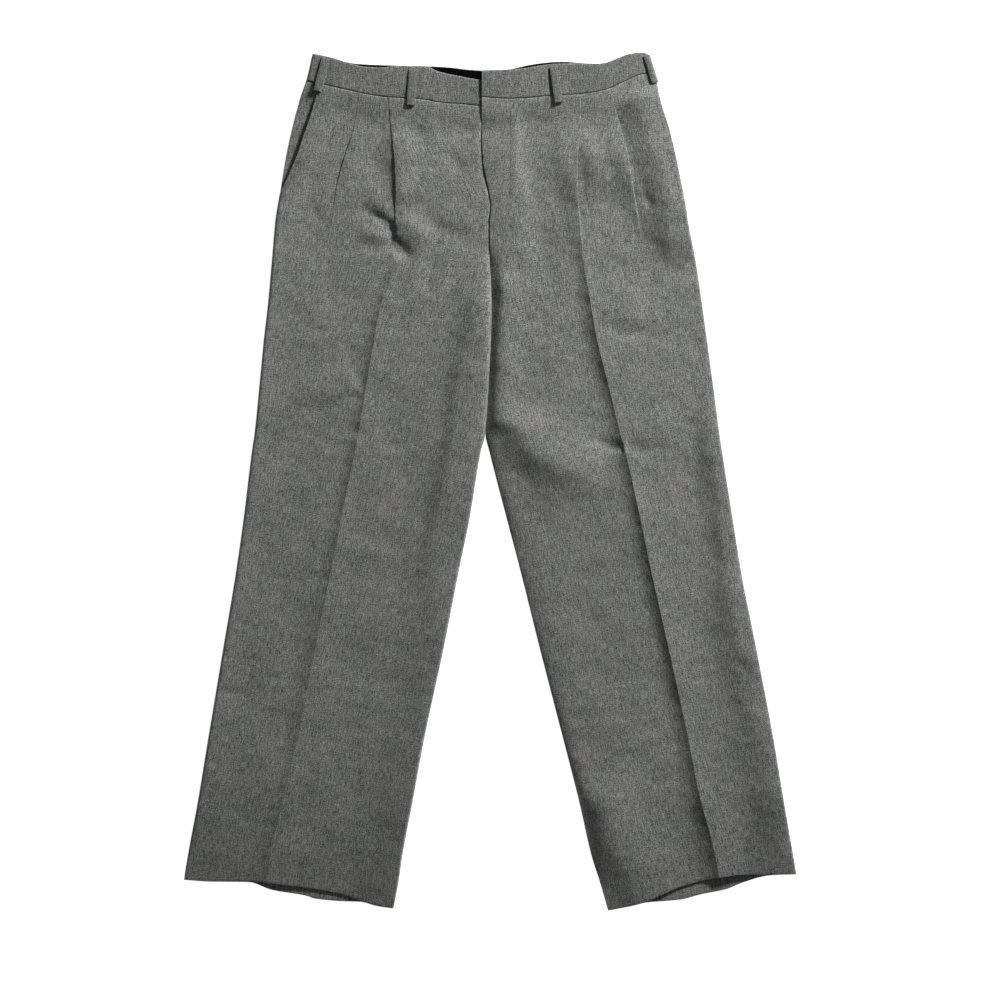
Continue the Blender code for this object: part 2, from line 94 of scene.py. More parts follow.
LEG_LEFT = table(Leg, [
    (545, 199, .58, 114, -11, 0), (510, 210.5, .58, 114, -11, 0), (487, 215.5, .58, 114, -11, 0),
    (446, 228, .54, 113.5, -11, 0), (408, 237, .49, 110, -9, 0), (370, 244.5, .475, 110.5, -2, .4),
    (350, 248, .467, 111.6, 1.2, .8), (330, 251, .46, 113, -.6, 1.4), (279, 261, .45, 118, -.5, 3),
    (224, 269, .45, 127.5, 1.5, 4.2), (181, 275, .45, 135, .5, 4.6), (129, 282, .45, 148, -2, 4),
    (60, 291, .45, 165, -6.5, 3.6), (40, 294, .45, 170.5, -2, 4.4), (-49, 308, .45, 190.5, 21, 5),
    (-112, 318, .45, 203.5, 37.5, 5.2), (-214, 338, .45, 226.5, 63, 5.4),
    (-328, 359.5, .45, 251, 92.5, 5.8), (-404, 372, .45, 266, 112, 6.2),
    (-478, 385, .45, 284.5, 129, 6), (-506, 389.3, .45, 290, 138, 5), (-546, 392, .45, 297, 149.5, 5),
])

Pleat = namedtuple("Pleat", "y turn under")
MAIN_PLEAT = table(Pleat, [
    (487, 180, 16), (440, 180, 13), (400, 172, 9), (378, 150, 4),
    (355, 110, 1), (335, 70, .5), (315, 35, .5), (292, 0, .5),
])
SECOND_PLEAT = table(Pleat, [
    (487, 180, 13), (440, 180, 10), (410, 165, 5), (388, 115, 1),
    (365, 70, .5), (340, 35, .5), (312, 0, .5),
])

Waist = namedtuple("Waist", "x top seam")
WAIST_RIGHT = table(Waist, [
    (-240, 545, 510), (-227, 543.5, 508), (-203, 538.5, 502.5),
    (-178, 530.6, 497), (-165, 527.2, 493.8), (-150, 525.7, 491),
    (-134, 525.7, 488.8), (-122, 527.2, 488), (-90, 527.2, 486),
    (-78, 526, 484.3), (-70, 521.8, 482.6), (-59, 518.6, 481.3),
    (-38, 514.4, 480), (-11, 510, 477.5), (30, 509, 477),
])
WAIST_LEFT = table(Waist, [
    (-12, 521.8, 488.5), (22, 522.8, 486.5), (42, 524.3, 487),
    (53, 526.3, 488), (63, 528, 489), (73, 529.2, 489.9),
    (83, 530.2, 490.5), (107, 530.5, 491.6), (124, 530.6, 493.5),
    (134, 530.3, 494.8), (144, 531, 497.5), (154, 534.3, 500.6),
    (165, 538.6, 505.8), (175, 542.4, 510.5), (190, 544.4, 517),
    (200, 543, 518.5), (214, 541, 519),
])
WAIST_BACK = table(Waist, [
    (-240, 545, 510), (-227, 543.8, 508), (-203, 539.1, 503),
    (-185, 533.7, 498.4), (-170, 531.2, 495.6), (-150, 530, 493),
    (-120, 529, 490.8), (-90, 528.3, 489.4), (-70, 527.7, 488.7),
    (-50, 526.4, 488), (-30, 524, 486.8), (-11, 522.8, 486),
    (22, 524, 486.8), (32, 525.8, 487.8), (42, 528.2, 489.6),
    (53, 530.4, 491.5), (63, 531.9, 493), (73, 533, 494),
    (83, 533.7, 494.6), (93, 533.9, 494.8), (104, 533.2, 494.6),
    (124, 531.6, 494.8), (134, 531, 495.4), (144, 531.6, 497.6),
    (154, 534.8, 501), (165, 539, 505.4), (175, 542.9, 509.5),
    (190, 545, 515.5), (200, 543.5, 518), (214, 541, 519),
])

Hem = namedtuple("Hem", "x front back")
HEM_RIGHT = table(Hem, [
    (-392, -506, -506), (-356, -508, -508.5), (-308, -507.5, -509),
    (-278, -510.5, -519), (-234, -516, -526.5), (-224, -517.5, -530),
    (-186, -525, -533.5), (-166, -531.5, -534), (-145, -538.5, -539.5),
    (-122, -542, -543),
])
HEM_LEFT = table(Hem, [
    (148, -545, -545.5), (182, -538, -539), (198, -533, -535),
    (223, -522.5, -533), (240, -515.5, -531.5), (268, -507.5, -524.5),
    (300, -501.5, -518), (318, -499.5, -510.5), (356, -499, -500.5),
    (393, -498.5, -499),
])

Mouth = namedtuple("Mouth", "y right left")
POCKET = table(Mouth, [
    (520, 17, .5), (495, 18, .5), (453, 19.5, 1.5),
    (412, 15.5, 2.2), (385, 7.5, 1.6), (362, 0, 0), (300, 0, 0),
])
POCKET_END = 352.0
FACING_UNDER = 12.0

Lap = namedtuple("Lap", "y under lift")
FLY = table(Lap, [
    (520, 30, 4.3), (470, 30, 4.2), (445, 30, 2.4), (350, 30, 2.2),
    (325, 22, 2.2), (300, 0, 2.1), (262, 0, 0), (200, 0, 0),
])

# Soft folds: a path with its half widths on the left and the right of the way it
# runs, its height, and the shares of its length over which it grows and falls.
Fold = namedtuple("Fold", "path left right height grow fall")
FOLDS_RIGHT = table(Fold, [
    # fullness beside the inseam and the crotch seam
    (((-98, -200), (-80, -120), (-70, -61), (-54, 15), (-45, 70), (-38, 122), (-29, 165), (-20, 199),
     (-17, 240), (-16, 300)), 12, 46, 3.2, .3, .25),
    (((-120, -570), (-109, -490), (-93, -404), (-77, -328), (-51, -214), (-33, -112), (-23, -50)), 44,
     70, 8.6, 0, .3),
    (((-44, -120), (-20, -20), (0, 80), (6, 180), (3, 260), (-4, 330)), 60, 70, 6, .25, .35),
    # pinch where the right main pleat gives out, with its small spurs
    (((-170, 352), (-152, 341), (-136, 332), (-123, 322)), 5, 8, -4.2, .75, .08),
    (((-133, 310), (-118, 299), (-107, 289), (-92, 275)), 8, 9, -4.4, .2, .6),
    (((-121, 326), (-124, 312), (-117, 299)), 3, 4, -3.5, .2, .2),
    (((-172, 300), (-150, 295), (-128, 299)), 10, 9, -.9, .4, .2),
    (((-118, 347), (-100, 325), (-76, 298)), 14, 16, 3.6, .3, .35),
    (((-174, 319), (-152, 314), (-130, 309)), 8, 9, 2, .4, .2),
    (((-160, 366), (-143, 354), (-127, 341)), 14, 8, 2.2, .3, .3),
    (((-117, 346), (-115, 365), (-115.5, 400), (-119, 440), (-123, 470)), 14, 34, 3.4, .2, .4),
    # drag lines across the right front
    (((-90, 337), (-71, 326), (-54, 319), (-38, 314), (-14, 318)), 9, 12, -1.9, .3, .3),
    (((-85, 236), (-73, 262), (-62, 294)), 12, 9, -1.6, .3, .3),
    (((-116, 458), (-96, 443), (-74, 427)), 9, 9, -1.7, .35, .35),
    (((-54, 427), (-45, 406), (-30, 386)), 8, 9, -1.3, .35, .35),
    (((-90, 475), (-62, 470), (-30, 467)), 3, 5, 2.4, .3, .3),
    (((-270, 118), (-228, 111), (-190, 115), (-164, 124)), 36, 12, 2.6, .3, .1),
    (((-176, 195), (-160, 198), (-145, 202)), 5, 6, -1.4, .4, .3),
    (((-240, 196), (-222, 193), (-206, 196)), 7, 6, -.7, .4, .4),
    (((-196, 98), (-178, 104), (-163, 112)), 7, 7, -1.2, .5, .2),
    (((-144, 52), (-125, 47), (-104, 53)), 8, 8, -1.2, .4, .4),
    (((-188, 60), (-172, 64), (-154, 54)), 8, 8, -1.0, .4, .4),
    (((-346, -266), (-330, -269), (-310, -267)), 5, 3, -1.1, .1, .4),
    (((-232, -128), (-214, -122), (-198, -130)), 7, 6, -.7, .4, .4),
    (((-150, -262), (-120, -250), (-92, -262)), 12, 10, -.8, .4, .4),
    (((-196, -90), (-165, -84), (-120, -95)), 9, 16, .8, .4, .4),
    (((-330, -180), (-320, -80), (-309, 0), (-301, 60)), 12, 10, -.7, .3, .3),
    (((-262, 262), (-246, 296), (-236, 330)), 14, 16, .9, .4, .4),
    (((-236, 358), (-222, 342), (-212, 320)), 5, 6, -.8, .4, .4),
    (((-186, 425), (-180, 385), (-177, 345)), 14, 9, 1.1, .3, .3),
    (((-150, 430), (-144, 398), (-141, 366)), 10, 9, -1.2, .35, .35),
])
FOLDS_LEFT = table(Fold, [
    # fullness beside the inseam and the crotch seam
    (((8, 55), (9, 100), (11, 160), (13, 200), (15, 245), (14, 290)), 9, 26, 5, .1, .2),
    # seat of the left thigh: a bulge over the crotch and the hollow below it
    (((24, 104), (33, 80), (42, 59), (56, 39), (74, 25), (97, 18), (126, 15), (152, 13)), 40, 27, 8.8,
     .3, .28),
    (((48, 14), (61, -2), (78, -13), (99, -17), (120, -12)), 18, 26, 1.8, .3, .4),
    (((116, 57), (135, 50), (152, 44), (170, 41)), 8, 6, -2.4, .5, .05),
    (((168, 50), (184, 40), (198, 37), (212, 41), (228, 52)), 8, 8, -1.9, .15, .4),
    (((174, 72), (198, 58), (220, 74), (231, 104)), 22, 9, 1.8, .3, .4),
    (((146, 204), (160, 191), (178, 187), (198, 191), (214, 201)), 9, 8, -1.8, .25, .4),
    (((138, 226), (164, 210), (200, 211)), 40, 9, 1.4, .3, .3),
    # fullness along the left outseam
    (((326, -250), (313, -180), (306, -130), (297, -49), (288, 20), (280, 75), (272, 135), (266, 165)),
     18, 50, 5, .35, .3),
    (((396, -590), (384, -520), (371, -442), (354, -354), (333, -250), (316, -150), (310, -90)), 34, 60,
     9.6, 0, .3),
    (((240, 262), (234, 300), (227, 335), (218, 370), (211, 402), (203, 432), (196, 460), (188, 492)),
     27, 95, 9, .25, 0),
    (((198, 300), (196, 340), (188, 363), (177, 385), (168, 415), (160, 450)), 34, 7, 1.5, .3, .3),
    (((189, 366), (200, 356), (207, 344)), 6, 7, -1.4, .3, .4),
    (((306, -226), (320, -236), (333, -250)), 7, 7, -1.3, .3, .3),
    (((130, 334), (131, 378), (128, 414), (122, 454)), 15, 46, 6.6, .6, .38),
    (((111, 345), (110, 385), (109, 425)), 15, 6, 2, .6, .35),
    # slack below and beside them
    (((72, 332), (70, 300), (76, 260), (81, 234)), 9, 9, -.9, .3, .3),
    (((35, 300), (31, 266), (28, 234)), 7, 7, -.6, .3, .3),
    (((118, -366), (148, -430), (170, -482), (190, -534)), 40, 25, 7.4, .3, 0),
    (((150, -341), (175, -337), (198, -327), (222, -316)), 5, 6, .9, .3, .3),
    (((92, -300), (110, -299), (130, -303)), 4, 4, -.7, .3, .3),
    (((236, -502), (247, -470), (250, -436)), 16, 14, -1.2, 0, .4),
    (((58, -50), (60, -90), (66, -140)), 9, 9, .6, .4, .4),
    (((118, -120), (150, -112), (182, -120)), 14, 12, -.7, .4, .4),
    # stitched edge of the fly facing
    (((2, 330), (13, 337), (21, 351), (25, 375), (25.5, 420), (25, 484)), 2.4, 2.4, -.6, .02, .02),
    (((5, 324), (17, 331), (26, 347), (30, 372), (30.5, 420), (30, 484)), 3, 4, .7, .1, .05),
])

# Unevenness: height, length, angle and phase of each wave.
WAVES = (
    (.20, 71, 12, .3), (.17, 47, 80, 1.9), (.13, 33, 140, 4.1), (.10, 23, 55, 2.2),
    (.07, 17, 100, 5.3), (.3, 118, 35, .9), (.22, 95, 120, 3.3),
)

# Belt loops; bend is how far right of its middle a loop turns down the side, and
# pucker how deep the band dips beside it.
LoopAt = namedtuple("LoopAt", "name x_top y_top x_end y_end bend pucker")
FRONT_LOOPS = table(LoopAt, [
    ("belt_loop_front_right", -98.3, 523, -101.3, 477, 9, .3),
    ("belt_loop_front_left", 80, 526.5, 86.8, 480.5, 9, .9),
    ("belt_loop_side_right", -209, 537.5, -219.5, 495, 9, .4),
    ("belt_loop_side_left", 199, 541.2, 210, 506, -.55, .9),
])
BACK_LOOPS = table(LoopAt, [
    ("belt_loop_back_right", -121, 526.5, -121, 480, 9, 0),
    ("belt_loop_back_centre", -9.5, 521, -9.5, 475.5, 9, 0),
    ("belt_loop_back_left", 101, 532, 101, 486, 9, 0),
])
LOOP_WIDTH = 10.5
LOOP_WALL = 1.1
LOOP_TURN_R = 3.7    # radius of a loop's turn down the side
LOOP_STITCH = 3.7    # from the loop's middle to each row of its stitches
PUCKER_WIDTH = 1.9

Rise = namedtuple("Rise", "x right left")
BAND_RISE = table(Rise, [
    (0, 0, 1.9), (35, .9, 2.2), (80, 1.4, 2.1), (145, 1.3, 1.6),
    (172, .6, 2.4), (205, 0, 2.4), (260, 0, 2.4),
])
BACK_BAND_Z = LOOP_ROOM + BAND / 2
SIDE_R = (BAND + LINING + 2 * SEAM_GAP + 0.1) / 2
FRONT_BAND_Z = BACK_BAND_Z + 2 * SIDE_R
MID_BAND_Y = 515.0

LEG = {"right": LEG_RIGHT, "left": LEG_LEFT}
HEM = {"right": HEM_RIGHT, "left": HEM_LEFT}
WAIST = {"right": WAIST_RIGHT, "left": WAIST_LEFT}
FOLDS = {"right": FOLDS_RIGHT, "left": FOLDS_LEFT}
INWARD = {"right": 1.0, "left": -1.0}    # way across a leg to the middle
curves = {}


def slopes(key, value):
    """Slopes of a smooth curve through a table that never overshoots it."""
    step = np.diff(value) / np.diff(key)
    m = np.zeros(len(key))
    m[0], m[-1] = step[0], step[-1]
    for i in range(1, len(key) - 1):
        if step[i - 1] * step[i] > 0:
            m[i] = 2 * step[i - 1] * step[i] / (step[i - 1] + step[i])
    return m


def along(rows, at, name):
    """Value of a named column of a table, at places in its first column."""
    if (id(rows), name) not in curves:
        pairs = sorted((float(r[0]), float(getattr(r, name))) for r in rows)
        key, value = np.array(pairs).T
        curves[id(rows), name] = key, value, slopes(key, value)
    key, value, m = curves[id(rows), name]
    at = np.clip(at, key[0], key[-1])
    i = np.clip(np.searchsorted(key, at, side="right") - 1, 0, len(key) - 2)
    h = key[i + 1] - key[i]
    t = (at - key[i]) / h
    return ((1 + 2 * t) * (1 - t) ** 2 * value[i] + t * (1 - t) ** 2 * h * m[i]
            + t * t * (3 - 2 * t) * value[i + 1] + t * t * (t - 1) * h * m[i + 1])


def smooth(t):
    """From nought to one, level at both ends."""
    t = np.clip(t, 0.0, 1.0)
    return t * t * (3 - 2 * t)


def above(row, start, over):
    """Growth from nought to one over a distance above a height."""
    return smooth((row - start) / over)


def below(row, start, over):
    """Growth from nought to one over a distance below a height."""
    return smooth((start - row) / over)


def level(side, row, x, back):
    """Height of a nominal row at x, so rows meet the waist seam and the hem."""
    waist = WAIST_BACK if back else WAIST[side]
    near_seam = above(row, 355, SEAM_Y - 370)
    near_hem = below(row, -370, 110)
    seam = along(waist, x, "seam") - SEAM_Y
    edge = along(HEM[side], x, "back" if back else "front") - HEM_Y
    return row + near_seam * seam + near_hem * edge


def edge_x(side, row, name, back):
    """Where a row meets an edge of the leg's outline."""
    y = row
    for _ in range(5):
        x = float(along(LEG[side], y, name))
        y = float(level(side, row, x, back))
    return x


def back_rise(row):
    """Rise of the legs to the waistband, which lies on the back loops."""
    return LOOP_ROOM * above(row, SEAM_Y - 44, 30)


def near_band(row):
    """How far cloth below the band has come to its level."""
    return above(row, SEAM_Y - 34, 32)


def grain_at(side, row, y, u):
    """Grain coordinates, with the warp running down the leg."""
    lean = math.radians(LEAN[side]) * below(row, 330, 200)
    u = u * math.cos(lean)
    return np.stack([u, y / math.cos(lean) + u * math.sin(lean)], 1)


def pleat_curve(table, row, steps=6, runs=3):
    """A pleat in section: cloth turns up, runs back, and turns level again."""
    turn = math.radians(float(along(table, row, "turn")))
    under = float(along(table, row, "under"))
    at = np.array([0.0, 0.0])
    points = [at]
    chords = [(turn * (k + 0.5) / steps, ARC / steps) for k in range(steps)]
    for heading, length in chords + [(turn, under / runs)] * runs + chords[::-1]:
        at = at + length * np.array([math.cos(heading), math.sin(heading)])
        points.append(at)
    points = np.array(points)
    points[:, 0] -= points[-1 - steps // 2, 0]
    return points


def smooth_path(points, steps=6):
    """Curve through points, and how far along each of its points is."""
    p = np.array(points, float)
    p = np.vstack([2 * p[0] - p[1], p, 2 * p[-1] - p[-2]])
    t = np.linspace(0, 1, steps, endpoint=False)[:, None]
    runs = []
    for a, b, c, d in zip(p, p[1:], p[2:], p[3:]):
        runs.append(0.5 * (2 * b + (c - a) * t + (2 * a - 5 * b + 4 * c - d) * t ** 2
                           + (3 * b - a - 3 * c + d) * t ** 3))
    curve = np.vstack(runs + [p[-2:-1]])
    return curve, running(np.hypot(*np.diff(curve, axis=0).T))


def fold_shape(fold, x, y):
    """Height of one soft fold, at places."""
    curve, length = smooth_path(fold.path)
    near = np.full(x.shape, 1e9)
    off, at = np.zeros(x.shape), np.zeros(x.shape)
    for a, b, start in zip(curve, curve[1:], length):
        run = b - a
        size = max(1e-6, float(np.hypot(*run)))
        t = np.clip(((x - a[0]) * run[0] + (y - a[1]) * run[1]) / size ** 2, 0, 1)
        dx, dy = x - a[0] - t * run[0], y - a[1] - t * run[1]
        gap = np.hypot(dx, dy)
        closer = gap < near
        near = np.where(closer, gap, near)
        side = np.sign(dx * run[1] - dy * run[0])
        off = np.where(closer, side * gap, off)
        at = np.where(closer, start + t * size, at)
    share = at / length[-1]
    weight = np.ones(x.shape)
    if fold.grow:
        weight *= smooth(share / fold.grow)
    if fold.fall:
        weight *= smooth((1 - share) / fold.fall)
    width = np.where(off < 0, fold.left, fold.right)
    return fold.height * weight * np.exp(-(off / width) ** 2)


def relief(side, x, y):
    """Soft folds and the slight unevenness of worn cloth."""
    total = np.zeros(x.shape)
    for fold in FOLDS[side]:
        path = np.array(fold.path)
        reach = 3 * max(fold.left, fold.right)
        low, high = path.min(0) - reach, path.max(0) + reach
        inside = (x > low[0]) & (x < high[0]) & (y > low[1]) & (y < high[1])
        total[inside] += fold_shape(fold, x[inside], y[inside])
    slant = 11 if side == "right" else -12
    for height, length, angle, phase in WAVES:
        a = math.radians(angle + slant)
        along_wave = (x * math.cos(a) + y * math.sin(a)) / length * 2 * math.pi
        across = (y * math.cos(a) - x * math.sin(a)) / (length * 2.3) * 2 * math.pi
        total += height * np.sin(along_wave + phase + 1.3 * np.sin(across + phase))
    return total


def band_level(side, x):
    """Middle of the front of the waistband, over a place on the waist seam."""
    reach = np.abs(x - along(LEG[side], 500.0, "out"))
    return FRONT_BAND_Z + along(BAND_RISE, reach, side)


def rounding(side, row):
    """Roundness of a front at its outer edge and its inner edge."""
    if side == "left":
        return 0.45, 6 + 20 * above(row, 285, 40)
    crotch = above(row, 40, 40) * below(row, 270, 30)
    return 0.8 + 5 * above(row, 345, 30), 0.45 + 0.9 * crotch + above(row, 240, 20)


def crease_flank(side, away, row):
    """Share of the crease's height: steep on one side, slow on the other."""
    if side == "right":
        steep = 14 + 8 * below(row, 0, 240)
    else:
        steep = 19 + 7 * below(row, -230, 170)
    near = np.maximum(0.0, 1 - away / steep) ** 2
    return np.where(away > 0, near, np.exp(away / CREASE_SLOPE))


def front_height(side, p, row, width, crease):
    """Middle of a front's wall without its pleats, and how free it is to ripple."""
    edge_round, inner_round = rounding(side, row)
    from_edge = 1 - np.exp(-np.maximum(0.0, p) / edge_round)
    from_inner = 1 - np.exp(-np.maximum(0.0, width - p) / inner_round)
    falling = np.clip((HEM_Y + HEM_FALL - row) / HEM_FALL, 0, 1) ** 1.4
    full = 1 + below(row, -230, 170) - 0.55 * above(row, 430, 55) - 1.95 * falling
    z = CAD_CLOTH / 2 + back_rise(row) + LAYER
    z = z + PUFF * full * from_edge * from_inner
    flank = crease_flank(side, (crease - p) * INWARD[side], row)
    z = z + along(LEG[side], row, "ridge") * flank * from_inner
    if side == "right":
        roll = np.exp(-p / HIP_WIDTH) * from_edge
        z = z + HIP_ROLL * roll * above(row, -500, 260) * below(row, 400, 150)
    over_facing = smooth((along(POCKET, row, side) + 36 - p) / 20)
    z = z + POCKET_LIFT * above(row, 318, 26) * over_facing
    at_hem = below(row, HEM_Y + TURN_UP + 62, 56)
    z = z + at_hem * (0.3 + 1.2 * np.sin(math.pi * np.clip(p / width, 0, 1)) ** 2)
    if side == "left":
        lift = along(FLY, row, "lift") * (1 + .6 * below(row, 455, 40))
        z = z + lift * smooth((p - width + FLY_WIDTH) / 26)
    free = from_edge * from_inner * (1 - above(row, 456, 30)) * (1 - 0.5 * falling)
    return z, free


def running(steps):
    """Distance run before the first step and after each."""
    return np.concatenate([[0], np.cumsum(steps)])


def parted(points, half):
    """Grid and grain from rows of points that carry both, and half the wall."""
    points = np.array(points)
    return points[..., :3], points[..., 3:], half


def eased(low, high, count):
    """Even places between two others, without them."""
    return low + (high - low) * np.linspace(0, 1, count + 2)[1:-1]


def front_section(side, row):
    """One row of a front: points of its wall's middle and its grain coordinates."""
    outline, inward = LEG[side], INWARD[side]
    out = edge_x(side, row, "out", False)
    inner = edge_x(side, row, "inner", False)
    width = (inner - out) * inward - (0 if row > FLY_FOOT else HALF_GAP)
    y_at = float(level(side, row, (out + inner) / 2, False))
    crease = (float(along(outline, y_at, "crease")) - out) * inward
    second = float(along(outline, y_at, "share")) * crease
    start = float(along(POCKET, row, side))
    under = float(along(FLY, row, "under")) if side == "right" else 0.0
    main_fold = pleat_curve(MAIN_PLEAT, row)
    second_fold = pleat_curve(SECOND_PLEAT, row)
    if side == "right":      # pressed flatter than the left
        second_fold[:, 1] *= .4
        main_fold[:, 1] *= .6
    first = second + second_fold[0, 0]
    low = max(second + second_fold[-1, 0], first + 0.5)
    high = crease + main_fold[0, 0]
    begin = crease + main_fold[-1, 0]
    # Columns stand closer together wherever the cloth turns.
    step_out = start + np.array([0, .5, 1.2, 2.4, 4.2, 7])
    step_in = begin + np.array([.8, 1.8, 3.2, 5.5, 9, 14])
    step_on = high - np.array([14, 10, 6.6, 4, 2.2, .9])
    if side == "right":
        tail = width - np.array([14, 9, 6, 4, 2.6, 1.8])
        tail = np.concatenate([tail, width - 1.2 + (under + 1.2) * np.linspace(0, 1, 8)])
        stop = width - 14
    else:
        tail = width - np.array([12, 8, 5, 3, 1.8, .9, .4, 0])
        stop = width - 12
    past_second = second_fold[-1, 1]
    past_main = main_fold[-1, 1] + past_second
    parts = [
        (step_out, 0.0), (eased(step_out[-1], first, 22), 0.0),
        (second + second_fold[:, 0], second_fold[:, 1]),
        (eased(low, step_on[0], 11), past_second), (step_on, past_second),
        (crease + main_fold[:, 0], main_fold[:, 1] + past_second),
        (step_in, past_main), (eased(step_in[-1], stop, 26), past_main), (tail, past_main),
    ]
    p = np.concatenate([a for a, _ in parts])
    rise = np.concatenate([np.broadcast_to(b, a.shape) for a, b in parts])
    x = out + inward * p
    y = level(side, row, x, False)
    flat_top = 1 - 0.6 * above(row, 428, 44)
    sag = past_second * smooth((p - first - 3) / 24)
    sag = sag + main_fold[-1, 1] * smooth((p - high - 3) / 26)
    rise = (rise - sag) * flat_top
    z, free = front_height(side, p, row, width, crease)
    flat = running(np.hypot(np.diff(p), np.diff(rise)))
    u = (flat - np.interp(crease, p, flat)) * inward
    return np.stack([x, y, z, rise, free], 1), grain_at(side, row, y, u)


def finish_front(side, points):
    """Add the folds to a front, keep it off the back, and tuck it under the band."""
    x, y, z, rise, free = np.moveaxis(points, -1, 0)
    z = z + relief(side, x, y) * free
    row = y - (along(WAIST[side], x, "seam") - SEAM_Y)
    lowest = CAD_CLOTH / 2 + back_rise(y) + LAYER
    z = np.maximum(z, lowest) + rise
    level_top = band_level(side, x)
    z = z + (level_top + BAND_MEET + rise - z) * near_band(row)
    tuck = above(row, SEAM_Y - TUCK_RUN, TUCK_RUN)
    z = z + (level_top - TUCK + 0.1 * rise - z) * tuck
    return np.stack([x, y, z], -1)


def turned_hem(rows, grain, hem, inside, low_rows):
    """Carry a grid round the hem edge and up inside; inside is -1 below, +1 above."""
    hem_points, hem_grain = hem
    rows, grain = list(rows), list(grain)
    edge_shift = np.array([0, FOLD_R, 0])
    rows.append(hem_points + edge_shift)
    grain.append(hem_grain)
    for k in range(1, 7):
        bend = math.pi * k / 6
        shift = np.array([0, FOLD_R * (1 - math.sin(bend)), 0])
        shift[2] = inside * FOLD_R * (1 - math.cos(bend))
        rows.append(hem_points + shift)
        grain.append(hem_grain - [0, FOLD_R * bend])
    for points, at in low_rows:
        rows.append(points + np.array([0, 0, inside * 2 * FOLD_R]))
        grain.append(at * [1, -1] + [0, 2 * HEM_Y])
    return np.array(rows), np.array(grain), CLOTH / 2


def spaced(stops):
    """Rows down through stops, each a height and the spacing below it."""
    rows = [stops[0][0]]
    for (high, gap), (low, _) in zip(stops, stops[1:]):
        count = max(1, round((high - low) / gap))
        rows.extend(np.linspace(high, low, count + 1)[1:])
    return rows


FRONT_STOPS = ((SEAM_Y + 1.4, .7), (SEAM_Y - 2.8, 1.4), (SEAM_Y - 7, 2.6), (260, 3),
               (-60, 4), (HEM_Y + TURN_UP, 3.5), (HEM_Y + 3, 0))
BACK_STOPS = ((SEAM_Y - .4, .5), (SEAM_Y - 2.4, 1.5), (SEAM_Y - 6, 4), (380, 8),
              (HEM_Y + TURN_UP, 4), (HEM_Y + 3, 0))


def wall_mesh(name, grid, half, grain=None):
    """Closed wall round a grid of middle points, with its grain kept as a UV map."""
    rows, cols = grid.shape[:2]
    a, b = grid[1:, 1:] - grid[:-1, :-1], grid[1:, :-1] - grid[:-1, 1:]
    face = np.cross(a, b)
    face /= np.maximum(np.linalg.norm(face, axis=2), 1e-9)[..., None]
    normal = np.zeros_like(grid)
    for i, j in ((0, 0), (1, 0), (0, 1), (1, 1)):
        normal[i:rows - 1 + i, j:cols - 1 + j] += face
    normal /= np.linalg.norm(normal, axis=2)[..., None]
    offset = normal * np.broadcast_to(half, (rows, cols))[..., None]
    verts = np.concatenate([(grid + offset).reshape(-1, 3), (grid - offset).reshape(-1, 3)])
    count = rows * cols
    index = np.arange(count).reshape(rows, cols)
    p, q, r, s = index[:-1, :-1], index[:-1, 1:], index[1:, 1:], index[1:, :-1]
    top = np.stack([p, q, r, s], 2).reshape(-1, 4)
    low = np.stack([p, s, r, q], 2).reshape(-1, 4) + count
    ring = np.concatenate([index[0], index[1:, -1], index[-1, -2::-1], index[-2:0:-1, 0]])
    nxt = np.roll(ring, -1)
    rim = np.stack([nxt, ring, ring + count, nxt + count], 1)
    quads = np.concatenate([top, low, rim])
    corner = verts[quads]
    volume = (corner[:, 0] * np.cross(corner[:, 1] - corner[:, 0], corner[:, 2])).sum()
    volume += (corner[:, 0] * np.cross(corner[:, 2] - corner[:, 0], corner[:, 3])).sum()
    if volume < 0:
        quads = quads[:, ::-1]
    mesh = bpy.data.meshes.new(name)
    mesh.vertices.add(len(verts))
    mesh.vertices.foreach_set("co", (verts * MM).astype(np.float32).ravel())
    mesh.loops.add(quads.size)
    mesh.loops.foreach_set("vertex_index", quads.astype(np.int32).ravel())
    mesh.polygons.add(len(quads))
    mesh.polygons.foreach_set("loop_start", np.arange(0, quads.size, 4, dtype=np.int32))
    mesh.polygons.foreach_set("loop_total", np.full(len(quads), 4, np.int32))
    if grain is not None:
        layer = mesh.uv_layers.new(name="Grain")
        flat = np.concatenate([grain.reshape(-1, 2)] * 2) * MM
        layer.uv.foreach_set("vector", flat[quads.ravel()].astype(np.float32).ravel())
    mesh.update(calc_edges=True)
    mesh.validate()
    mesh.polygons.foreach_set("use_smooth", np.ones(len(quads), bool))
    mesh.set_sharp_from_angle(angle=math.radians(SHARP_ANGLE))
    return mesh


def add_piece(name, mesh, material, nodes, slot):
    """Piece of the trousers, with the CAD nodes that it stands for."""
    mesh.materials.append(material)
    made = bpy.data.objects.new(name, mesh)
    bpy.context.scene.collection.objects.link(made)
    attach(made, "root")
    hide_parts(*nodes)
    return made


# Materials ----

